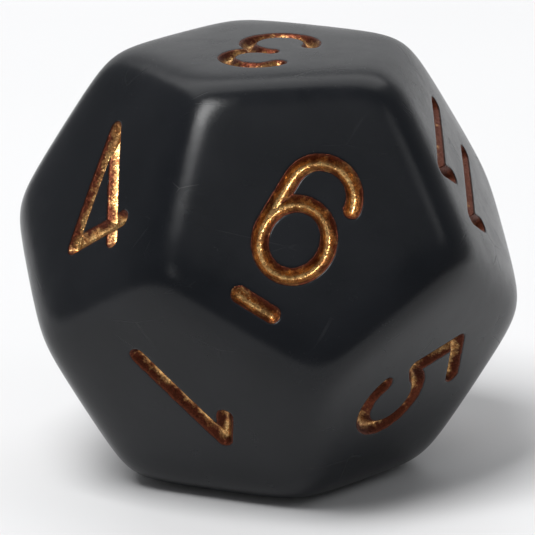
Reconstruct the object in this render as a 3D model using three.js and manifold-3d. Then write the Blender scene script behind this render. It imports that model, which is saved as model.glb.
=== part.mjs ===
// A twelve-sided gaming die: one solid moulded body, tumbled smooth, with a numeral engraved in each
// face and a thin film of metallic paint lining each engraved groove.
// Millimetres, +Z up. The die rests on its "10" face, the middle of that face is the origin, and its
// "6" face looks towards -Y and upwards.

import * as THREE from 'three';
import { ConvexGeometry } from 'three/addons/geometries/ConvexGeometry.js';
import Module from 'manifold-3d';

const wasm = await Module();
wasm.setup();

// ---- Driving dimensions -------------------------------------------------------------------------

const ACROSS_FLATS = 18.5;
const GOLDEN_RATIO = (1 + Math.sqrt(5)) / 2;
const INRADIUS = ACROSS_FLATS / 2;
const FACE_APOTHEM = INRADIUS / GOLDEN_RATIO; // middle of a face to the middle of its side
const FACE_CORNER = FACE_APOTHEM / Math.cos(Math.PI / 5); // middle of a face to its corner
const FACE_TILT = THREE.MathUtils.radToDeg(Math.atan(2)); // between neighbouring faces' normals

const CROWN_RADIUS = 158; // tumbling leaves each face a very shallow dome
const EDGE_SHARPNESS = 18.8; // how tightly neighbouring domes blend; higher is sharper
const FLAT_SHARE = 0.5; // the middle of each face, by width, stays flat
const RING_SHARES = [0.7, 0.84, 0.94, 1]; // rings of facets from that flat out to the edge
const POINTS_PER_SIDE = 4; // along each side of a ring

const GROOVE_DEPTH = 0.45;
const GROOVE_HALF_TOP = 0.375;
const GROOVE_HALF_BOTTOM = 0.12; // a V cut with a narrow flat floor
const CUTTER_RISE = 0.3; // the groove cutter stands this far out of the face
const FINEST_DETAIL = 0.002; // slivers left by the cutting, thinner than this, are merged away
const PAINT_GAP = 0.02; // from the plastic to the paint film
const PAINT_THICKNESS = 0.08;
const ARC_STEP = 24; // degrees of a numeral's curve per facet
const END_FACETS = 4; // facets round the end of a stroke

const NUMERAL_TOP = 2.45; // centrelines of the strokes, above and below the middle of the face
const NUMERAL_BASE = -2.75;
const NUMERAL_HEIGHT = NUMERAL_TOP - NUMERAL_BASE;
const BOWL_WIDTH = 1.4; // half width of a full-width bowl
const NARROW_BOWL = 1.15; // half width beside a "1"
const UNDERLINE_Y = -4.33;
const UNDERLINE_HALF = 0.78;

// ---- Numeral strokes ----------------------------------------------------------------------------
// Each stroke is { points, closed } along its centreline, in the plane of its face: x to the right
// and y up, as the numeral is read.

function line(...points) {
  return { points, closed: false };
}

function arcPoints(centreX, centreY, radiusX, radiusY, fromDegrees, toDegrees) {
  const steps = Math.ceil(Math.abs(toDegrees - fromDegrees) / ARC_STEP);
  const points = [];
  for (let i = 0; i <= steps; i += 1) {
    const angle = THREE.MathUtils.degToRad(fromDegrees + ((toDegrees - fromDegrees) * i) / steps);
    points.push([centreX + radiusX * Math.cos(angle), centreY + radiusY * Math.sin(angle)]);
  }
  return points;
}

function oval(centreX, centreY, radiusX, radiusY) {
  const points = arcPoints(centreX, centreY, radiusX, radiusY, 0, 360);
  points.pop();
  return { points, closed: true };
}

function one(stemX) {
  const flagBase = [stemX - 1.05, NUMERAL_TOP - 0.9];
  return [
    line([stemX, NUMERAL_BASE], [stemX, NUMERAL_TOP]),
    line([stemX, NUMERAL_TOP], flagBase),
  ];
}

function two(centreX, halfWidth) {
  const shoulderY = NUMERAL_TOP - BOWL_WIDTH;
  const foot = [centreX - halfWidth, NUMERAL_BASE];
  const bowl = arcPoints(centreX, shoulderY, halfWidth, BOWL_WIDTH, 165, -35);
  return [
    line(...bowl, foot),
    line(foot, [centreX + halfWidth, NUMERAL_BASE]),
  ];
}

function three() {
  const upperHeight = 1.19;
  const lowerHeight = NUMERAL_HEIGHT / 2 - upperHeight;
  const waistY = NUMERAL_TOP - 2 * upperHeight;
  const waistX = -0.35;
  return [
    line(...arcPoints(-0.2, waistY + upperHeight, 1.22, upperHeight, 165, -90), [waistX, waistY]),
    line([waistX, waistY], ...arcPoints(-0.15, waistY - lowerHeight, 1.35, lowerHeight, 90, -175)),
  ];
}

function four() {
  const stemX = 1.12;
  const barY = NUMERAL_BASE + 0.72;
  const barLeft = [-1.55, barY];
  return [
    line([stemX, NUMERAL_TOP], [stemX, NUMERAL_BASE]),
    line([stemX, NUMERAL_TOP], barLeft),
    line(barLeft, [1.8, barY]),
  ];
}

function five() {
  const left = -1.28;
  const bowlHeight = 1.54;
  const stemFoot = [left, 0];
  const bowl = arcPoints(0, NUMERAL_BASE + bowlHeight, 1.38, bowlHeight, 120, -162);
  return [
    line([left, NUMERAL_TOP], [0.85, NUMERAL_TOP]),
    line([left, NUMERAL_TOP], stemFoot),
    line(stemFoot, ...bowl),
  ];
}

function six() {
  const bowlHeight = 1.58;
  const bowlY = NUMERAL_BASE + bowlHeight;
  const hook = arcPoints(0, NUMERAL_TOP - BOWL_WIDTH, BOWL_WIDTH, BOWL_WIDTH, 180, 6);
  return [
    oval(0, bowlY, BOWL_WIDTH, bowlHeight),
    line([-BOWL_WIDTH, bowlY], ...hook),
  ];
}

function seven() {
  const corner = [BOWL_WIDTH, NUMERAL_TOP];
  return [
    line([-BOWL_WIDTH, NUMERAL_TOP], corner),
    line(corner, [-0.45, NUMERAL_BASE]),
  ];
}

function eight() {
  const upperHeight = 1.22;
  const lowerHeight = NUMERAL_HEIGHT / 2 - upperHeight;
  return [
    oval(0, NUMERAL_TOP - upperHeight, 1.2, upperHeight),
    oval(0, NUMERAL_BASE + lowerHeight, BOWL_WIDTH, lowerHeight),
  ];
}

// A "9" is the "6" turned half round in its own place.
function nine() {
  const middleY = NUMERAL_TOP + NUMERAL_BASE;
  return six().map(({ points, closed }) => ({
    points: points.map(([x, y]) => [-x, middleY - y]),
    closed,
  }));
}

function zero(centreX) {
  return [oval(centreX, (NUMERAL_TOP + NUMERAL_BASE) / 2, NARROW_BOWL, NUMERAL_HEIGHT / 2)];
}

function underline() {
  return [line([-UNDERLINE_HALF, UNDERLINE_Y], [UNDERLINE_HALF, UNDERLINE_Y])];
}

// ---- Faces --------------------------------------------------------------------------------------
// tilt: the normal's angle from +Z. azimuth: its heading, from +X towards +Y. twist: the turn of the
// numeral in its face, so that its top points at one of the face's corners. shift moves the numeral
// right and up in its own face.

const UPPER = FACE_TILT;
const LOWER = 180 - FACE_TILT;

const FACES = [
  { tilt: 0, azimuth: -90, twist: 234, shift: [-0.13, 0.64], films: { numeral_3: three() } },
  {
    tilt: UPPER,
    azimuth: -90,
    twist: 54,
    shift: [0.08, -0.04],
    films: { numeral_6: six(), underline_6: underline() },
  },
  {
    tilt: UPPER,
    azimuth: -18,
    twist: 198,
    shift: [0.28, 0.64],
    films: { numeral_11_left_one: one(-0.87), numeral_11_right_one: one(1.87) },
  },
  {
    tilt: UPPER,
    azimuth: 54,
    twist: 126,
    films: { numeral_12_one: one(-1.45), numeral_12_two: two(1.25, NARROW_BOWL) },
  },
  { tilt: UPPER, azimuth: 126, twist: 54, films: { numeral_8: eight() } },
  { tilt: UPPER, azimuth: 198, twist: 126, shift: [0.1, -0.09], films: { numeral_4: four() } },
  { tilt: LOWER, azimuth: -126, twist: -54, shift: [0, -0.14], films: { numeral_1: one(0.04) } },
  { tilt: LOWER, azimuth: -54, twist: 18, shift: [-0.04, -0.1], films: { numeral_5: five() } },
  { tilt: LOWER, azimuth: 18, twist: 162, films: { numeral_9: nine(), underline_9: underline() } },
  { tilt: LOWER, azimuth: 90, twist: 90, films: { numeral_7: seven() } },
  { tilt: LOWER, azimuth: 162, twist: 18, films: { numeral_2: two(0, BOWL_WIDTH) } },
  {
    tilt: 180,
    azimuth: -90,
    twist: 90,
    films: { numeral_10_one: one(-1.45), numeral_10_zero: zero(1.25) },
  },
];

// A face's own axes seen from the middle of the die: z along the normal, y up the numeral.
function faceRotation({ tilt, azimuth, twist }) {
  const { degToRad } = THREE.MathUtils;
  const heading = new THREE.Matrix4().makeRotationZ(degToRad(azimuth));
  const lean = new THREE.Matrix4().makeRotationY(degToRad(tilt));
  const turn = new THREE.Matrix4().makeRotationZ(degToRad(twist));
  return heading.multiply(lean).multiply(turn);
}

const FACE_NORMALS = FACES.map((face) => {
  const { elements } = faceRotation(face);
  return new THREE.Vector3(elements[8], elements[9], elements[10]);
});

// ---- Tumbled body -------------------------------------------------------------------------------

// Distance from the middle of the die to its surface along a direction: the blend of the twelve
// domes. The sum runs over powers, so the nearest dome decides except close to an edge.
function surfaceRadius(direction, inradius) {
  const domeOffset = CROWN_RADIUS - inradius;
  let sum = 0;
  for (const normal of FACE_NORMALS) {
    const lean = direction.dot(normal);
    const reach = Math.sqrt((domeOffset * lean) ** 2 + CROWN_RADIUS ** 2 - domeOffset ** 2);
    sum += ((reach - domeOffset * lean) / inradius) ** -EDGE_SHARPNESS;
  }
  return inradius * sum ** (-1 / EDGE_SHARPNESS);
}

// Points of one ring round a face, at a share of the way from its middle to its sides.
function ringOffsets(share) {
  const offsets = [];
  for (let side = 0; side < 5; side += 1) {
    const corner = (index) => {
      const angle = Math.PI / 2 + (index * 2 * Math.PI) / 5;
      return new THREE.Vector2(Math.cos(angle), Math.sin(angle)).multiplyScalar(FACE_CORNER * share);
    };
    for (let i = 0; i < POINTS_PER_SIDE; i += 1) {
      offsets.push(corner(side).lerp(corner(side + 1), i / POINTS_PER_SIDE));
    }
  }
  return offsets;
}

// The convex body, or a smaller copy of it that stands the given distance inside it.
function tumbledBody(inset) {
  const inradius = INRADIUS - inset;
  const places = new Map();
  const keep = (point) => {
    const key = point.toArray().map((value) => value.toFixed(4)).join();
    places.set(key, point);
  };
  for (const face of FACES) {
    const rotation = faceRotation(face);
    for (const { x, y } of ringOffsets(FLAT_SHARE)) {
      keep(new THREE.Vector3(x, y, inradius).applyMatrix4(rotation));
    }
    for (const share of RING_SHARES) {
      for (const { x, y } of ringOffsets(share)) {
        const direction = new THREE.Vector3(x, y, INRADIUS).normalize().applyMatrix4(rotation);
        keep(direction.clone().multiplyScalar(surfaceRadius(direction, inradius)));
      }
    }
  }
  return new ConvexGeometry([...places.values()]);
}

// ---- Solids and booleans ------------------------------------------------------------------------

// Merged vertices of a closed geometry, as a manifold-3d solid.
function toSolid(geometry) {
  const position = geometry.getAttribute('position');
  const corners = geometry.index ? [...geometry.index.array] : [...Array(position.count).keys()];
  const seen = new Map();
  const vertProperties = [];
  const triVerts = corners.map((corner) => {
    const point = [position.getX(corner), position.getY(corner), position.getZ(corner)];
    const key = point.map((value) => value.toFixed(5)).join();
    if (!seen.has(key)) {
      seen.set(key, seen.size);
      vertProperties.push(...point);
    }
    return seen.get(key);
  });
  return new wasm.Manifold(new wasm.Mesh({
    numProp: 3,
    vertProperties: new Float32Array(vertProperties),
    triVerts: new Uint32Array(triVerts),
  }));
}

function toGeometry(solid) {
  const { vertProperties, triVerts } = solid.getMesh();
  const geometry = new THREE.BufferGeometry();
  geometry.setAttribute('position', new THREE.BufferAttribute(vertProperties, 3));
  geometry.setIndex(new THREE.BufferAttribute(triVerts, 1));
  return geometry;
}

// ---- Groove cutters -----------------------------------------------------------------------------

// Unit vector to the left of the path at one of its points, stretched to keep the width in a bend.
function leftOfPath({ points, closed }, index) {
  const count = points.length;
  const at = (i) => new THREE.Vector2(...points[closed ? (i + count) % count : i]);
  const hasBefore = closed || index > 0;
  const hasAfter = closed || index < count - 1;
  const after = hasAfter ? at(index + 1).sub(at(index)).normalize() : null;
  const before = hasBefore ? at(index).sub(at(index - 1)).normalize() : after;
  const along = before.clone().add(after ?? before).normalize();
  const stretch = 1 / along.dot(before);
  return new THREE.Vector2(-along.y, along.x).multiplyScalar(stretch);
}

// Outlines of a stroke of the given half width: one loop with round ends for an open stroke, an
// outer loop and a hole for a closed one. Outer loops run anticlockwise and holes clockwise.
function strokeOutlines(stroke, halfWidth) {
  const { points, closed } = stroke;
  const side = (sign) => points.map(([x, y], i) => {
    const left = leftOfPath(stroke, i);
    return new THREE.Vector2(x + sign * halfWidth * left.x, y + sign * halfWidth * left.y);
  });
  if (closed) {
    return [side(-1), side(1).reverse()];
  }
  const roundEnd = ([x, y], from) => {
    const loop = [];
    for (let i = 1; i < END_FACETS; i += 1) {
      const angle = from + (Math.PI * i) / END_FACETS;
      loop.push(new THREE.Vector2(x + halfWidth * Math.cos(angle), y + halfWidth * Math.sin(angle)));
    }
    return loop;
  };
  const right = side(-1);
  const left = side(1).reverse();
  const last = points.length - 1;
  const endFrom = leftOfPath(stroke, last).negate().angle();
  const startFrom = leftOfPath(stroke, 0).angle();
  return [[...right, ...roundEnd(points[last], endFrom), ...left, ...roundEnd(points[0], startFrom)]];
}

// Solid between matching outlines at two heights.
function loft(bottomLoops, bottomZ, topLoops, topZ) {
  const bottom = bottomLoops.flat();
  const top = topLoops.flat();
  const count = bottom.length;
  const index = [];
  for (const [a, b, c] of THREE.ShapeUtils.triangulateShape(bottomLoops[0], bottomLoops.slice(1))) {
    index.push(c, b, a, a + count, b + count, c + count);
  }
  let start = 0;
  for (const loop of bottomLoops) {
    for (let i = 0; i < loop.length; i += 1) {
      const here = start + i;
      const next = start + ((i + 1) % loop.length);
      index.push(here, next, next + count, here, next + count, here + count);
    }
    start += loop.length;
  }
  const geometry = new THREE.BufferGeometry();
  const heights = [...bottom.map(({ x, y }) => [x, y, bottomZ]), ...top.map(({ x, y }) => [x, y, topZ])];
  geometry.setAttribute('position', new THREE.Float32BufferAttribute(heights.flat(), 3));
  geometry.setIndex(index);
  return geometry;
}

// Everything that a numeral's groove takes out of its face, less a margin off its floor and walls.
function grooveCutter(strokes, margin) {
  const wallSlope = (GROOVE_HALF_TOP - GROOVE_HALF_BOTTOM) / GROOVE_DEPTH;
  const bottomHalf = GROOVE_HALF_BOTTOM + margin * (wallSlope - Math.hypot(1, wallSlope));
  const bottomZ = INRADIUS - GROOVE_DEPTH + margin;
  const topHalf = bottomHalf + wallSlope * (GROOVE_DEPTH - margin + CUTTER_RISE);
  const solids = strokes.map((stroke) => toSolid(loft(
    strokeOutlines(stroke, bottomHalf),
    bottomZ,
    strokeOutlines(stroke, topHalf),
    INRADIUS + CUTTER_RISE,
  )));
  return solids.reduce((whole, solid) => whole.add(solid));
}

function shiftedStrokes(strokes, [right, up] = [0, 0]) {
  return strokes.map(({ points, closed }) => ({
    points: points.map(([x, y]) => [x + right, y + up]),
    closed,
  }));
}

// ---- Materials ----------------------------------------------------------------------------------

function charcoalPlastic() {
  return new THREE.MeshStandardMaterial({ color: 0x2e3033, roughness: 0.35, metalness: 0 });
}

function copperPaint() {
  return new THREE.MeshStandardMaterial({ color: 0xb9743a, roughness: 0.4, metalness: 0.9 });
}

// ---- Assembly -----------------------------------------------------------------------------------

function namedMesh(name, geometry, material) {
  const mesh = new THREE.Mesh(geometry, material);
  mesh.name = name;
  return mesh;
}

// Paint film in one numeral's groove, in its face's own axes.
function paintFilm(strokes, rotation) {
  const insideFace = new THREE.Matrix4().copy(rotation).invert();
  const limit = toSolid(tumbledBody(PAINT_GAP).applyMatrix4(insideFace));
  const outer = grooveCutter(strokes, PAINT_GAP);
  const inner = grooveCutter(strokes, PAINT_GAP + PAINT_THICKNESS);
  return toGeometry(outer.subtract(inner).intersect(limit));
}

function buildDie() {
  const die = new THREE.Group();
  die.position.z = INRADIUS;
  let body = toSolid(tumbledBody(0));
  for (const face of FACES) {
    const rotation = faceRotation(face);
    const faceGroup = new THREE.Group();
    faceGroup.setRotationFromMatrix(rotation);
    for (const [name, shape] of Object.entries(face.films)) {
      const strokes = shiftedStrokes(shape, face.shift);
      const cutter = toGeometry(grooveCutter(strokes, 0)).applyMatrix4(rotation);
      body = body.subtract(toSolid(cutter));
      faceGroup.add(namedMesh(name, paintFilm(strokes, rotation), copperPaint()));
    }
    die.add(faceGroup);
  }
  body = body.asOriginal().simplify(FINEST_DETAIL);
  die.add(namedMesh('die_body', toGeometry(body), charcoalPlastic()));
  return die;
}

const root = new THREE.Group();
root.add(buildDie());

export default root;
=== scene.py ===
"""Looks of a twelve-sided gaming die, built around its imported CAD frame.

Shapes are worked out in millimetres in the plane of a face, with the middle of the die as origin,
and turned to metres in the frame when a mesh is made. Every face has the same outline in its own
plane, because the top of each numeral points at one of its face's corners.
"""
import math

import bmesh
import bpy
import numpy as np
from mathutils import Matrix, Vector
from mathutils.geometry import delaunay_2d_cdt


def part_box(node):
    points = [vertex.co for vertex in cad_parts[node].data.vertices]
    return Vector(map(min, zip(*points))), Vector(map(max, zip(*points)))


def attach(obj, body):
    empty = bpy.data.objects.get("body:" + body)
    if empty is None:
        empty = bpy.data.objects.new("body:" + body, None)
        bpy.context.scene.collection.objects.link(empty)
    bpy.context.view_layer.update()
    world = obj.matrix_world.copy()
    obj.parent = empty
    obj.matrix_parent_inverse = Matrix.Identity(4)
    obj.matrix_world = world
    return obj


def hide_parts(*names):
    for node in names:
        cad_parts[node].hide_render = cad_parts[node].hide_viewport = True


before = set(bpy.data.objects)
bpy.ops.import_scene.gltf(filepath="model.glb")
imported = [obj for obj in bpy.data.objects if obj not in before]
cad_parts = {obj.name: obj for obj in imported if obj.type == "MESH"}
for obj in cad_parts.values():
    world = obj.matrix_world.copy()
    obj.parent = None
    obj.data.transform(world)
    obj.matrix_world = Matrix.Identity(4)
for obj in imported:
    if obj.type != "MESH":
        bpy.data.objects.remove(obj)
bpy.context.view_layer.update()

MM = 0.001

# ---- Driving dimensions, in millimetres ----------------------------------------------------------

CAD_LOW, CAD_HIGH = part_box("die_body")
ACROSS_FLATS = (CAD_HIGH[2] - CAD_LOW[2]) / MM
INRADIUS = ACROSS_FLATS / 2
GOLDEN_RATIO = (1 + math.sqrt(5)) / 2
FACE_APOTHEM = INRADIUS / GOLDEN_RATIO
FACE_CORNER = FACE_APOTHEM / math.cos(math.pi / 5)
FACE_TILT = math.degrees(math.atan(2))
CROWN_RADIUS = 158.0  # tumbling leaves each face a very shallow dome
EDGE_SHARPNESS = 18.8  # how tightly neighbouring domes blend; higher is sharper

GROOVE_DEPTH = 0.45
GROOVE_HALF = 0.375  # half width at the face
GROOVE_FLOOR = 0.07  # half width of the floor
RIM_ROUNDING = 0.035
FLOOR_ROUNDING = 0.05

PAINT_THICKNESS = 0.03
THICKNESS_RIPPLE = 0.15  # share by which the thickness varies
PAINT_BEDDING = 0.008  # the underside of the film lies this far into the plastic
PAINT_POOL = 0.05  # extra paint along the middle of the valley
POOL_WIDTH = 0.12
RIM_STEP = 0.012  # height of the film's edge above the plastic
RIM_WANDER = 0.006  # how far the painted rim strays from a true line
PAINT_HALF = 0.372  # half width of the film, just inside the groove
PAINT_TRIM = 0.366  # triangles whose middles lie further out than this are left off
FLAKE_SIZE = 0.05
FLAKE_LEAN = 0.27  # how far a flake's normal may lean, as a share of its length

NUMERAL_TOP = 2.45
NUMERAL_BASE = -2.75
NUMERAL_HEIGHT = NUMERAL_TOP - NUMERAL_BASE
BOWL_WIDTH = 1.4
NARROW_BOWL = 1.15
UNDERLINE_Y = -4.33
UNDERLINE_HALF = 0.78

STROKE_STEP = 0.1  # spacing of points along a stroke
EDGE_RINGS = (0.1, 0.2, 0.31, 0.43, 0.56, 0.7, 0.86, 1.04, 1.25, 1.5, 1.8)  # in from a face's sides
SIDE_POINTS = 36
FACE_GRID = 0.27
BODY_CONTOURS = (0, 0.04, 0.08, 0.16, 0.25, 0.31, 0.345, 0.375, 0.405, 0.44, 0.49, 0.56, 0.66, 0.78)
CONTOUR_REACH = 0.86  # rings and grid keep this far from a stroke's centreline
CONTOUR_SLACK = 0.004  # how far a contour point may be from its own distance
SIDE_CLEARANCE = 0.06  # engraving points keep this far from a face's sides
BODY_SPACING = 0.028  # least distance between points in and near a groove
JUNCTION_GRID = 0.07
JUNCTION_BAND = 0.12  # two strokes whose distances differ by less than this share a junction
JUNCTION_REACH = 0.5  # and the shared part goes this far from their centrelines
SAME_POINT = 1e-5  # points closer than this are one point to the triangulation
WELD_DISTANCE = 0.001  # and closer than this where two faces meet

FILM_STEP = 0.06  # the same measures for the paint, where they differ
FILM_SPACING = 0.02
FILM_CONTOURS = tuple(np.arange(0, 0.36, 0.045))
FILM_JUNCTION_REACH = 0.34


# ---- Numeral strokes -----------------------------------------------------------------------------
# A stroke is (points, closed): points along its centreline, x to the right and y up as it is read.

def evenly_spaced(points, closed, step=STROKE_STEP):
    points = np.array(points, float)
    if closed:
        points = np.vstack([points, points[:1]])
    lengths = np.linalg.norm(np.diff(points, axis=0), axis=1)
    along = np.concatenate([[0], np.cumsum(lengths)])
    count = max(2, int(round(along[-1] / step)) + 1)
    at = np.linspace(0, along[-1], count)
    spaced = np.stack([np.interp(at, along, points[:, axis]) for axis in (0, 1)], axis=1)
    return spaced[:-1] if closed else spaced


def line(*points):
    return evenly_spaced(points, False), False


def arc_points(centre_x, centre_y, radius_x, radius_y, start, end):
    angles = np.radians(np.linspace(start, end, int(abs(end - start) / 2) + 2))
    return list(zip(centre_x + radius_x * np.cos(angles), centre_y + radius_y * np.sin(angles)))


def oval(centre_x, centre_y, radius_x, radius_y):
    points = arc_points(centre_x, centre_y, radius_x, radius_y, 0, 360)[:-1]
    return evenly_spaced(points, True), True


def one(stem_x):
    top = (stem_x, NUMERAL_TOP)
    return [line((stem_x, NUMERAL_BASE), top), line(top, (stem_x - 1.05, NUMERAL_TOP - 0.9))]


def two(centre_x, half_width):
    foot = (centre_x - half_width, NUMERAL_BASE)
    bowl = arc_points(centre_x, NUMERAL_TOP - BOWL_WIDTH, half_width, BOWL_WIDTH, 165, -35)
    return [line(*bowl, foot), line(foot, (centre_x + half_width, NUMERAL_BASE))]


def three():
    upper = 1.19
    lower = NUMERAL_HEIGHT / 2 - upper
    waist = (-0.35, NUMERAL_TOP - 2 * upper)
    return [
        line(*arc_points(-0.2, waist[1] + upper, 1.22, upper, 165, -90), waist),
        line(waist, *arc_points(-0.15, waist[1] - lower, 1.35, lower, 90, -175)),
    ]


def four():
    stem_top = (1.12, NUMERAL_TOP)
    bar_left = (-1.55, NUMERAL_BASE + 0.72)
    return [
        line(stem_top, (stem_top[0], NUMERAL_BASE)),
        line(stem_top, bar_left),
        line(bar_left, (1.8, bar_left[1])),
    ]


def five():
    corner = (-1.28, NUMERAL_TOP)
    stem_foot = (corner[0], 0)
    bowl_height = 1.54
    bowl = arc_points(0, NUMERAL_BASE + bowl_height, 1.38, bowl_height, 120, -162)
    return [line(corner, (0.85, NUMERAL_TOP)), line(corner, stem_foot), line(stem_foot, *bowl)]


def six():
    bowl_height = 1.58
    bowl_y = NUMERAL_BASE + bowl_height
    hook = arc_points(0, NUMERAL_TOP - BOWL_WIDTH, BOWL_WIDTH, BOWL_WIDTH, 180, 6)
    return [oval(0, bowl_y, BOWL_WIDTH, bowl_height), line((-BOWL_WIDTH, bowl_y), *hook)]


def seven():
    corner = (BOWL_WIDTH, NUMERAL_TOP)
    return [line((-BOWL_WIDTH, NUMERAL_TOP), corner), line(corner, (-0.45, NUMERAL_BASE))]


def eight():
    upper = 1.22
    lower = NUMERAL_HEIGHT / 2 - upper
    return [
        oval(0, NUMERAL_TOP - upper, 1.2, upper),
        oval(0, NUMERAL_BASE + lower, BOWL_WIDTH, lower),
    ]


def nine():
    turned_about = np.array([0, NUMERAL_TOP + NUMERAL_BASE])
    return [(turned_about - points, closed) for points, closed in six()]


def zero(centre_x):
    middle = (NUMERAL_TOP + NUMERAL_BASE) / 2
    return [oval(centre_x, middle, NARROW_BOWL, NUMERAL_HEIGHT / 2)]


def underline():
    return [line((-UNDERLINE_HALF, UNDERLINE_Y), (UNDERLINE_HALF, UNDERLINE_Y))]


def shifted(strokes, right, up):
    return [(points + np.array([right, up]), closed) for points, closed in strokes]


# ---- Faces ---------------------------------------------------------------------------------------
# (tilt of the normal from +Z, its azimuth, twist of the numeral, how far the numeral stands to the
# right of and above the middle of its face, {CAD node: strokes}), in degrees and millimetres.

UPPER = FACE_TILT
LOWER = 180 - FACE_TILT
CENTRED = (0, 0)
TENS_X = -1.45  # stem of the "1" in 10 and 12
UNITS_X = 1.25  # middle of the numeral beside it
FACES = [
    (0, -90, 234, (-0.13, 0.64), {"numeral_3": three()}),
    (UPPER, -90, 54, (0.08, -0.04), {"numeral_6": six(), "underline_6": underline()}),
    (
        UPPER,
        -18,
        198,
        (0.28, 0.64),
        {"numeral_11_left_one": one(-0.87), "numeral_11_right_one": one(1.87)},
    ),
    (
        UPPER,
        54,
        126,
        CENTRED,
        {"numeral_12_one": one(TENS_X), "numeral_12_two": two(UNITS_X, NARROW_BOWL)},
    ),
    (UPPER, 126, 54, CENTRED, {"numeral_8": eight()}),
    (UPPER, 198, 126, (0.1, -0.09), {"numeral_4": four()}),
    (LOWER, -126, -54, (0, -0.14), {"numeral_1": one(0.04)}),
    (LOWER, -54, 18, (-0.04, -0.1), {"numeral_5": five()}),
    (LOWER, 18, 162, CENTRED, {"numeral_9": nine(), "underline_9": underline()}),
    (LOWER, 90, 90, CENTRED, {"numeral_7": seven()}),
    (LOWER, 162, 18, CENTRED, {"numeral_2": two(0, BOWL_WIDTH)}),
    (180, -90, 90, CENTRED, {"numeral_10_one": one(TENS_X), "numeral_10_zero": zero(UNITS_X)}),
]

# How much further the paint of these numerals goes towards the dark rim colour, from 0 to 1.
PAINT_DARKENING = {
    "numeral_1": 0.2,
    "numeral_5": 0.2,
    "numeral_11_left_one": 0.36,
    "numeral_11_right_one": 0.3,
}


def face_axes(tilt, azimuth, twist):
    """3x3 matrix that turns a face's own x, y and normal into the frame's axes."""
    turns = [(azimuth, "Z"), (tilt, "Y"), (twist, "Z")]
    matrix = Matrix.Identity(3)
    for degrees, axis in turns:
        matrix = matrix @ Matrix.Rotation(math.radians(degrees), 3, axis)
    return np.array(matrix)


LOCAL_NORMALS = np.array([face_axes(*face[:3])[:, 2] for face in FACES]) @ face_axes(*FACES[0][:3])


# ---- The tumbled surface -------------------------------------------------------------------------

def surface_points(plane):
    """Points of the plain tumbled surface above points of a face's plane, seen from the middle."""
    ahead = np.column_stack([plane, np.full(len(plane), INRADIUS)])
    direction = ahead / np.linalg.norm(ahead, axis=1, keepdims=True)
    lean = direction @ LOCAL_NORMALS.T
    offset = CROWN_RADIUS - INRADIUS
    reach = np.sqrt((offset * lean) ** 2 + CROWN_RADIUS ** 2 - offset ** 2) - offset * lean
    blend = np.sum((reach / INRADIUS) ** -EDGE_SHARPNESS, axis=1)
    return direction * (INRADIUS * blend ** (-1 / EDGE_SHARPNESS))[:, None]


def above_plane(places):
    """Plane points whose surface points stand straight above the given places."""
    plane = places
    for _ in range(3):
        plane = places * (INRADIUS / surface_points(plane)[:, 2])[:, None]
    return plane


def distances_to(places, strokes):
    """Distance from each place to the centreline of each stroke."""
    columns = []
    for points, closed in strokes:
        start = points if closed else points[:-1]
        end = np.roll(points, -1, axis=0) if closed else points[1:]
        step = end - start
        away = places[:, None, :] - start[None]
        share = np.clip(np.sum(away * step, axis=2) / np.sum(step * step, axis=1), 0, 1)
        gap = away - share[..., None] * step
        columns.append(np.sqrt(np.sum(gap * gap, axis=2)).min(axis=1))
    return np.stack(columns, axis=1)


def groove_depth(distance):
    """Depth of the groove by distance from its centreline: a V with soft rims and a small floor."""
    slope = GROOVE_DEPTH / (GROOVE_HALF - GROOVE_FLOOR)
    wall = (GROOVE_HALF - distance) * slope
    over_floor = GROOVE_DEPTH - wall
    bottomed = GROOVE_DEPTH - (over_floor + np.sqrt(over_floor ** 2 + FLOOR_ROUNDING ** 2)) / 2
    return (bottomed + np.sqrt(bottomed ** 2 + RIM_ROUNDING ** 2)) / 2


# ---- Points to triangulate -----------------------------------------------------------------------

def contour(stroke, offset, step=STROKE_STEP):
    """Points at one distance from a stroke's centreline, on both sides and round its ends."""
    points, closed = stroke
    if closed:
        along = np.roll(points, -1, axis=0) - np.roll(points, 1, axis=0)
    else:
        along = np.gradient(points, axis=0)
    along /= np.linalg.norm(along, axis=1, keepdims=True)
    if offset == 0:
        return points
    left = np.column_stack([-along[:, 1], along[:, 0]])
    rows = [points + offset * left, points - offset * left]
    if not closed:
        for tip, outward in ((points[-1], along[-1]), (points[0], -along[0])):
            heading = math.atan2(outward[1], outward[0])
            count = max(3, int(math.pi * offset / step))
            angles = heading + np.linspace(-math.pi / 2, math.pi / 2, count + 2)[1:-1]
            rows.append(tip + offset * np.column_stack([np.cos(angles), np.sin(angles)]))
    return np.vstack(rows)


def contours(strokes, offsets, step=STROKE_STEP):
    """Contour points of all strokes that no other stroke comes closer to."""
    rows = []
    for offset in offsets:
        for stroke in strokes:
            places = contour(stroke, offset, step)
            nearest = distances_to(places, strokes).min(axis=1)
            rows.append(places[np.abs(nearest - offset) < CONTOUR_SLACK])
    return np.vstack(rows)


def hex_grid(half_width, spacing):
    rows = []
    for row, y in enumerate(np.arange(-half_width, half_width, spacing * math.sqrt(3) / 2)):
        x = np.arange(-half_width, half_width, spacing) + (row % 2) * spacing / 2
        rows.append(np.column_stack([x, np.full(len(x), y)]))
    return np.vstack(rows)


def junction_points(strokes, reach):
    """A fine grid where two strokes' grooves run into each other."""
    if len(strokes) < 2:
        return np.empty((0, 2))
    grid = hex_grid(FACE_CORNER, JUNCTION_GRID)
    nearest = np.sort(distances_to(grid, strokes), axis=1)
    return grid[(nearest[:, 1] - nearest[:, 0] < JUNCTION_BAND) & (nearest[:, 0] < reach)]


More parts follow.
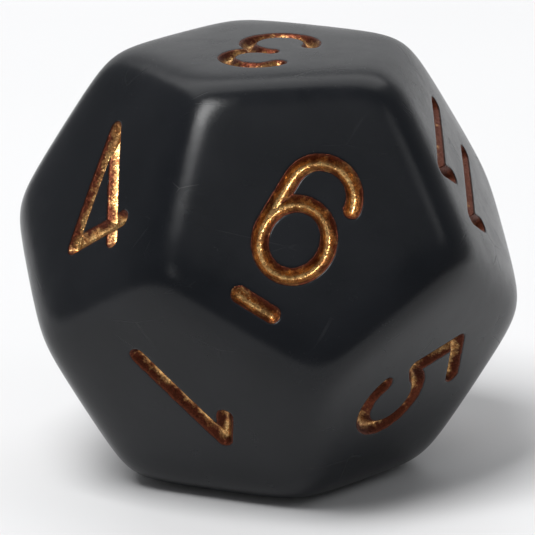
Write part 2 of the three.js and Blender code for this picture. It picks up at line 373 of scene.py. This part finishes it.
def pentagon(inset=0.0, per_side=SIDE_POINTS):
    """Points round a face's outline, in from its sides, with a corner at the top."""
    corner_radius = (FACE_APOTHEM - inset) / math.cos(math.pi / 5)
    angles = math.pi / 2 + np.arange(6) * 2 * math.pi / 5
    corners = corner_radius * np.column_stack([np.cos(angles), np.sin(angles)])
    share = np.arange(per_side)[:, None] / per_side
    return np.vstack([a + (b - a) * share for a, b in zip(corners[:-1], corners[1:])])


def distance_to_sides(places):
    angles = math.pi / 2 + math.pi / 5 + np.arange(5) * 2 * math.pi / 5
    outward = np.column_stack([np.cos(angles), np.sin(angles)])
    return FACE_APOTHEM - (places @ outward.T).max(axis=1)


def thinned(places, spacing):
    """Drops each point that lies too close to one before it."""
    cells = {}
    kept = []
    for x, y in places:
        column, row = int(x // spacing), int(y // spacing)
        near = (
            other
            for i in (column - 1, column, column + 1)
            for j in (row - 1, row, row + 1)
            for other in cells.get((i, j), ())
        )
        if all((x - a) ** 2 + (y - b) ** 2 >= spacing ** 2 for a, b in near):
            cells.setdefault((column, row), []).append((x, y))
            kept.append((x, y))
    return np.array(kept)


def triangulated(places, outline_count=0):
    """Delaunay triangles of the places; the first outline_count of them are the outer loop."""
    outline = [list(range(outline_count))] if outline_count else []
    kind = 1 if outline_count else 0
    result = delaunay_2d_cdt([Vector(place) for place in places], [], outline, kind, SAME_POINT)
    corners = np.array([tuple(corner) for corner in result[0]])
    triangles = np.array([tuple(face) for face in result[2]])
    a, b, c = (corners[triangles[:, i]] for i in range(3))
    area = (b[:, 0] - a[:, 0]) * (c[:, 1] - a[:, 1]) - (b[:, 1] - a[:, 1]) * (c[:, 0] - a[:, 0])
    triangles[area < 0] = triangles[area < 0][:, ::-1]
    return corners, triangles


# ---- Meshes --------------------------------------------------------------------------------------

def to_frame(points, axes):
    """Millimetres in a face's own axes to metres in the frame."""
    return (points @ axes.T + np.array([0, 0, INRADIUS])) * MM


def make_piece(name, vertices, triangles, material, slot_name, replaced):
    mesh = bpy.data.meshes.new(name)
    mesh.from_pydata(vertices.tolist(), [], triangles.tolist())
    mesh.polygons.foreach_set("use_smooth", [True] * len(mesh.polygons))
    mesh.materials.append(material)
    piece = bpy.data.objects.new(name, mesh)
    bpy.context.scene.collection.objects.link(piece)
    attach(piece, "root")
    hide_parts(replaced)
    return piece


def body_face(strokes):
    """One face of the body with its engraving: points in the face's own axes, and triangles."""
    outline = pentagon()
    rings = []
    for inset in EDGE_RINGS:
        rings.append(pentagon(inset, max(8, int(SIDE_POINTS * (1 - inset / FACE_APOTHEM)))))
    grid = hex_grid(FACE_CORNER, FACE_GRID)
    grid = grid[distance_to_sides(grid) > EDGE_RINGS[-1] + FACE_GRID / 2]
    plain = np.vstack([*rings, grid])
    plain = plain[distances_to(plain, strokes).min(axis=1) > CONTOUR_REACH]
    engraved = [contours(strokes, BODY_CONTOURS), junction_points(strokes, JUNCTION_REACH)]
    engraved = above_plane(thinned(np.vstack(engraved), BODY_SPACING))
    engraved = engraved[distance_to_sides(engraved) > SIDE_CLEARANCE]
    places = np.vstack([outline, engraved, plain])
    plane, triangles = triangulated(places, len(outline))
    points = surface_points(plane)
    nearest = distances_to(points[:, :2], strokes).min(axis=1)
    inner = distance_to_sides(plane) > SIDE_CLEARANCE / 2
    points[:, 2] -= np.where(inner, groove_depth(nearest), 0)
    return points, triangles


def build_body(material):
    """All twelve faces in one closed skin."""
    vertices = []
    triangles = []
    start = 0
    for tilt, azimuth, twist, place, numerals in FACES:
        strokes = [stroke for parts in numerals.values() for stroke in shifted(parts, *place)]
        points, faces = body_face(strokes)
        vertices.append(to_frame(points, face_axes(tilt, azimuth, twist)))
        triangles.append(faces + start)
        start += len(points)
    skin = (np.vstack(vertices), np.vstack(triangles))
    join_faces(make_piece("die_moulding", *skin, material, "charcoal_plastic", "die_body"))


def join_faces(body):
    """Welds the twelve faces along their shared edges."""
    edit = bmesh.new()
    edit.from_mesh(body.data)
    rim = {vertex for edge in edit.edges if edge.is_boundary for vertex in edge.verts}
    bmesh.ops.remove_doubles(edit, verts=list(rim), dist=WELD_DISTANCE * MM)
    edit.to_mesh(body.data)
    edit.free()


# ---- Paint films ---------------------------------------------------------------------------------

def ripple(places, seed):
    """Smooth seeded noise of unit size, a few tenths of a millimetre across."""
    waves = 24
    turn_per_mm = 14
    source = np.random.default_rng(seed)
    total = np.zeros(len(places))
    for _ in range(waves):
        wave = source.normal(0, 1, 2) * turn_per_mm
        total += np.sin(places @ wave + source.uniform(0, 2 * math.pi))
    return total / math.sqrt(waves / 2)


def film_sheet(strokes):
    """Triangles over one numeral's paint, in the plane of its face, out to its rim."""
    fine = [(evenly_spaced(points, closed, FILM_STEP), closed) for points, closed in strokes]
    inner = contours(fine, FILM_CONTOURS, FILM_STEP)
    rim = contours(fine, (PAINT_HALF,), FILM_STEP)
    junctions = junction_points(strokes, FILM_JUNCTION_REACH)
    places = thinned(np.vstack([rim, inner, junctions]), FILM_SPACING)
    corners, triangles = triangulated(places)
    middles = corners[triangles].mean(axis=1)
    inside = distances_to(middles, fine).min(axis=1) < PAINT_TRIM
    triangles = triangles[inside]
    used = np.unique(triangles)
    renumber = np.full(len(corners), -1)
    renumber[used] = np.arange(len(used))
    return corners[used], renumber[triangles]


def rim_edges(triangles):
    """Directed edges that only one triangle has."""
    edges = np.vstack([triangles[:, [0, 1]], triangles[:, [1, 2]], triangles[:, [2, 0]]])
    present = {tuple(edge) for edge in edges.tolist()}
    return np.array([edge for edge in present if (edge[1], edge[0]) not in present])


def build_film(node, strokes, axes, material, seed, extra_darkening):
    """One numeral's paint: a closed sheet that lines the groove, thicker in the valley."""
    places, triangles = film_sheet(strokes)
    rim = np.unique(rim_edges(triangles))
    wander = np.column_stack([ripple(places, seed + 1), ripple(places, seed + 2)])
    places[rim] += RIM_WANDER * wander[rim]
    nearest = distances_to(places, strokes).min(axis=1)
    ground = surface_points(above_plane(places))
    ground[:, 2] -= groove_depth(nearest)
    thickness = PAINT_THICKNESS * (1 + THICKNESS_RIPPLE * ripple(places, seed))
    pooled = PAINT_POOL * np.exp(-((nearest / POOL_WIDTH) ** 2))
    upper = ground.copy()
    upper[:, 2] += thickness + pooled
    upper[rim, 2] = ground[rim, 2] + RIM_STEP
    lower = ground.copy()
    lower[:, 2] -= PAINT_BEDDING
    count = len(places)
    walls = []
    for a, b in rim_edges(triangles).tolist():
        walls.append((b, a, a + count))
        walls.append((b, a + count, b + count))
    faces = np.vstack([triangles, triangles[:, ::-1] + count, np.array(walls)])
    vertices = to_frame(np.vstack([upper, lower]), axes)
    film = make_piece("paint_" + node, vertices, faces, material, "copper_paint", node)
    # Share of the way out to the rim plus extra darkening; the paint darkens with it, partly
    # painted shade.
    rim_darkening = film.data.attributes.new("rim_darkening", "FLOAT", "POINT")
    rim_darkening.data.foreach_set("value", np.tile(nearest / GROOVE_HALF, 2) + extra_darkening)
    return film


# ---- Materials -----------------------------------------------------------------------------------

def new_material(name):
    material = bpy.data.materials.new(name)
    material.use_nodes = True
    nodes = material.node_tree.nodes
    nodes.clear()
    output = nodes.new("ShaderNodeOutputMaterial")
    shader = nodes.new("ShaderNodeBsdfPrincipled")
    material.node_tree.links.new(shader.outputs["BSDF"], output.inputs["Surface"])
    return material, shader


def add_node(material, kind, inputs=None, **settings):
    """Adds a node; inputs maps socket names to a value or to another node's output."""
    node = material.node_tree.nodes.new(kind)
    for name, value in settings.items():
        setattr(node, name, value)
    for name, value in (inputs or {}).items():
        if isinstance(value, bpy.types.NodeSocket):
            material.node_tree.links.new(value, node.inputs[name])
        else:
            node.inputs[name].default_value = value
    return node


def object_place(material):
    return add_node(material, "ShaderNodeTexCoord").outputs["Object"]


def noise(material, size_mm, detail=3.0, roughness=0.5):
    """Noise whose features are about size_mm across."""
    inputs = {
        "Vector": object_place(material),
        "Scale": 1 / (size_mm * MM),
        "Detail": detail,
        "Roughness": roughness,
    }
    return add_node(material, "ShaderNodeTexNoise", inputs).outputs["Fac"]


def remap(material, value, low, high, to_low, to_high):
    """Stretches the range from low to high over the range from to_low to to_high."""
    inputs = {
        "Value": value,
        "From Min": low,
        "From Max": high,
        "To Min": to_low,
        "To Max": to_high,
    }
    return add_node(material, "ShaderNodeMapRange", inputs).outputs["Result"]


def maths(material, operation, *values):
    """Result of a Math node whose inputs are numbers or other nodes' outputs."""
    inputs = dict(enumerate(values))
    return add_node(material, "ShaderNodeMath", inputs, operation=operation).outputs[0]


def vector_maths(material, operation, inputs):
    return add_node(material, "ShaderNodeVectorMath", inputs, operation=operation).outputs[0]


def mix_colour(material, factor, first, second, blend="MIX"):
    node = add_node(material, "ShaderNodeMix", data_type="RGBA", blend_type=blend)
    sockets = {"Factor": factor, "A": first, "B": second}
    for socket in node.inputs:
        if socket.name in sockets and socket.type in ("RGBA", "VALUE") and socket.enabled:
            value = sockets[socket.name]
            if isinstance(value, bpy.types.NodeSocket):
                material.node_tree.links.new(value, socket)
            else:
                socket.default_value = value
    return next(socket for socket in node.outputs if socket.type == "RGBA")


def bump(material, height, depth_mm, strength=1.0, normal=None):
    inputs = {"Height": height, "Distance": depth_mm * MM, "Strength": strength}
    if normal is not None:
        inputs["Normal"] = normal
    return add_node(material, "ShaderNodeBump", inputs).outputs["Normal"]


def charcoal_plastic():
    """Moulded plastic with fine grain, slight orange peel, rare pinpricks and hairline scuffs."""
    material, shader = new_material("charcoal_plastic")
    mottle = remap(material, noise(material, 3.0), 0.35, 0.65, 0, 1)
    darker = (0.0050, 0.0060, 0.0080, 1)
    lighter = (0.0078, 0.0088, 0.0112, 1)
    colour = mix_colour(material, mottle, darker, lighter)
    scuffs = hairlines(material)
    rubbed = remap(material, scuffs, 0, 1, 0, 0.35)
    colour = mix_colour(material, rubbed, colour, (0.035, 0.036, 0.038, 1))
    gloss = remap(material, noise(material, 1.6, 5.0, 0.6), 0.3, 0.7, 0.2, 0.28)
    blunted = maths(material, "MULTIPLY_ADD", scuffs, 0.2, gloss)
    links = material.node_tree.links
    links.new(colour, shader.inputs["Base Color"])
    links.new(blunted, shader.inputs["Roughness"])
    fine = bump(material, noise(material, 0.05, 2.0), 0.004)
    peel = bump(material, noise(material, 0.9, 3.0), 0.008, normal=fine)
    links.new(bump(material, scuffs, -0.004, normal=peel), shader.inputs["Normal"])
    shader.inputs["IOR"].default_value = 1.33
    return material


def hairlines(material):
    """1 along sparse fine scratches and in pinpricks, 0 elsewhere."""
    streaks = add_node(
        material,
        "ShaderNodeTexVoronoi",
        {"Vector": stretched_place(material), "Scale": 1 / (2.2 * MM)},
        feature="DISTANCE_TO_EDGE",
    )
    line_here = remap(material, streaks.outputs["Distance"], 0.0, 0.012, 1, 0)
    patch = remap(material, noise(material, 2.6, 2.0), 0.56, 0.66, 0, 0.7)
    scratch = maths(material, "MULTIPLY", line_here, patch)
    speckle = remap(material, noise(material, 0.09, 1.0), 0.78, 0.84, 0, 1)
    return maths(material, "MAXIMUM", scratch, speckle)


def stretched_place(material):
    """Object coordinates squeezed along a slanting direction, so that patterns become streaks."""
    squeeze = {
        "Vector": object_place(material),
        "Rotation": (0.5, 0.35, 0.8),
        "Scale": (0.3, 1.0, 1.0),
    }
    return add_node(material, "ShaderNodeMapping", squeeze).outputs["Vector"]


def tilted_flakes(material, flake_colour):
    """The surface normal leant a little to a different side on each flake."""
    centred = vector_maths(material, "ADD", {0: flake_colour, 1: (-0.5, -0.5, -0.5)})
    lean = vector_maths(material, "SCALE", {0: centred, "Scale": FLAKE_LEAN})
    surface = add_node(material, "ShaderNodeNewGeometry").outputs["Normal"]
    leant = vector_maths(material, "ADD", {0: surface, 1: lean})
    return vector_maths(material, "NORMALIZE", {0: leant})


def copper_paint():
    """Flaked metallic paint, bright in the valley, thin and in painted shade towards the rim."""
    material, shader = new_material("copper_paint")
    flakes = add_node(
        material,
        "ShaderNodeTexVoronoi",
        {"Vector": object_place(material), "Scale": 1 / (FLAKE_SIZE * MM), "Randomness": 1.0},
    )
    rim_darkening = add_node(material, "ShaderNodeAttribute", attribute_name="rim_darkening").outputs["Fac"]
    specks = remap(material, noise(material, 0.22, 4.0, 0.7), 0.3, 0.7, -0.28, 0.28)
    patches = remap(material, noise(material, 0.8, 2.0), 0.35, 0.65, -0.2, 0.24)
    ragged = maths(material, "ADD", maths(material, "ADD", rim_darkening, specks), patches)
    # Darker towards the rim: partly paint worn thin, partly painted shade of the groove walls.
    thin_and_shaded = remap(material, ragged, 0.16, 0.78, 0, 1)
    tone = remap(material, noise(material, 0.3, 4.0, 0.65), 0.35, 0.65, 0, 1)
    bright = mix_colour(material, tone, (0.60, 0.27, 0.085, 1), (0.88, 0.55, 0.22, 1))
    # The dark red-brown is painted shade of the groove walls, and paint worn thin.
    worn_and_shaded = mix_colour(material, thin_and_shaded, bright, (0.105, 0.027, 0.013, 1))
    sparkle = remap(material, flakes.outputs["Color"], 0.0, 1.0, 0.5, 1.4)
    links = material.node_tree.links
    links.new(mix_colour(material, 1.0, worn_and_shaded, sparkle, "MULTIPLY"), shader.inputs["Base Color"])
    polish = remap(material, noise(material, 0.2), 0.3, 0.7, 0.14, 0.28)
    links.new(maths(material, "MULTIPLY_ADD", thin_and_shaded, 0.25, polish), shader.inputs["Roughness"])
    shader.inputs["Metallic"].default_value = 0.92
    waves = noise(material, 0.12, 3.0, 0.6)
    tilted = tilted_flakes(material, flakes.outputs["Color"])
    links.new(bump(material, waves, 0.012, normal=tilted), shader.inputs["Normal"])
    return material


def table_surface():
    """Matt pale card with broad, barely visible shading."""
    material, shader = new_material("table_surface")
    shade = remap(material, noise(material, 60, 2.0), 0.3, 0.7, 0, 1)
    colour = mix_colour(material, shade, (0.74, 0.74, 0.745, 1), (0.76, 0.76, 0.765, 1))
    material.node_tree.links.new(colour, shader.inputs["Base Color"])
    shader.inputs["Roughness"].default_value = 0.85
    return material


# ---- Camera, floor and lights --------------------------------------------------------------------

DIE_MIDDLE = Vector((0, 0, INRADIUS * MM))
CAMERA_AZIMUTH = -11.42
CAMERA_ELEVATION = 16.25
CAMERA_ROLL = -0.29
CAMERA_DISTANCE = 0.25
FOCAL_SHARE = 10.95  # focal length over the width of the picture
AIM_BELOW = 0.0005  # the camera looks this far below the middle of the die
AIM_LEFT = 0.00003  # and this far to the left of it
SENSOR_MM = 36
FLOOR_FRONT = -0.03
FLOOR_BACK = 0.5
FLOOR_HALF_FRONT = 0.032
FLOOR_HALF_BACK = 0.42


def heading(azimuth, elevation):
    """Unit vector from the die towards an azimuth and elevation; azimuth 0 is -Y."""
    a, e = math.radians(azimuth), math.radians(elevation)
    return Vector((math.sin(a) * math.cos(e), -math.cos(a) * math.cos(e), math.sin(e)))


def aim(thing, target, roll=0.0):
    turn = (target - thing.location).to_track_quat("-Z", "Y").to_matrix()
    thing.rotation_euler = (turn @ Matrix.Rotation(math.radians(roll), 3, "Z")).to_euler()


def add_camera():
    data = bpy.data.cameras.new("camera")
    data.sensor_width = SENSOR_MM
    data.lens = SENSOR_MM * FOCAL_SHARE
    data.clip_start = 0.005
    camera = bpy.data.objects.new("camera", data)
    bpy.context.scene.collection.objects.link(camera)
    camera.location = DIE_MIDDLE + heading(CAMERA_AZIMUTH, CAMERA_ELEVATION) * CAMERA_DISTANCE
    target = DIE_MIDDLE - Vector((0, 0, AIM_BELOW)) + heading(CAMERA_AZIMUTH - 90, 0) * AIM_LEFT
    aim(camera, target, CAMERA_ROLL)
    bpy.context.scene.camera = camera


def add_softbox(name, azimuth, elevation, distance, width, height, watts):
    data = bpy.data.lights.new(name, "AREA")
    data.shape = "RECTANGLE"
    data.size = width
    data.size_y = height
    data.energy = watts
    light = bpy.data.objects.new(name, data)
    bpy.context.scene.collection.objects.link(light)
    light.location = DIE_MIDDLE + heading(azimuth, elevation) * distance
    aim(light, DIE_MIDDLE)


def add_floor(material):
    """A pale sheet that widens away from the viewer."""
    corners = [
        (-FLOOR_HALF_FRONT, FLOOR_FRONT, 0),
        (FLOOR_HALF_FRONT, FLOOR_FRONT, 0),
        (FLOOR_HALF_BACK, FLOOR_BACK, 0),
        (-FLOOR_HALF_BACK, FLOOR_BACK, 0),
    ]
    mesh = bpy.data.meshes.new("floor")
    mesh.from_pydata(corners, [], [(0, 1, 2, 3)])
    mesh.materials.append(material)
    floor = bpy.data.objects.new("floor", mesh)
    bpy.context.scene.collection.objects.link(floor)


def light_the_room():
    """A dim room and six soft boxes, each turned towards the die."""
    world = bpy.data.worlds.new("room")
    world.use_nodes = True
    background = world.node_tree.nodes["Background"]
    background.inputs["Color"].default_value = (0.95, 0.97, 1.0, 1)
    background.inputs["Strength"].default_value = 0.2
    bpy.context.scene.world = world
    bpy.context.scene.view_settings.view_transform = "Standard"
    add_softbox("back_ceiling", 168, 57, 1.0, 1.25, 0.75, 4.1)
    add_softbox("white_wall", 168.5, 13, 1.0, 1.2, 0.5, 0.88)
    add_softbox("window", -50, 63, 0.9, 0.38, 0.44, 7.9)
    add_softbox("low_left", -38, 15, 0.9, 0.14, 0.2, 0.22)
    add_softbox("right_fill", 56, 35, 0.9, 0.2, 0.3, 0.25)
    add_softbox("front_fill", 14, 46, 1.0, 0.7, 0.5, 0.48)


# ---- Assembly ------------------------------------------------------------------------------------

plastic = charcoal_plastic()
paint = copper_paint()
build_body(plastic)
for index, (tilt, azimuth, twist, place, numerals) in enumerate(FACES):
    axes = face_axes(tilt, azimuth, twist)
    for part, (node, strokes) in enumerate(numerals.items()):
        placed = shifted(strokes, *place)
        build_film(node, placed, axes, paint, 10 * index + part, PAINT_DARKENING.get(node, 0.0))
add_floor(table_surface())
light_the_room()
add_camera()
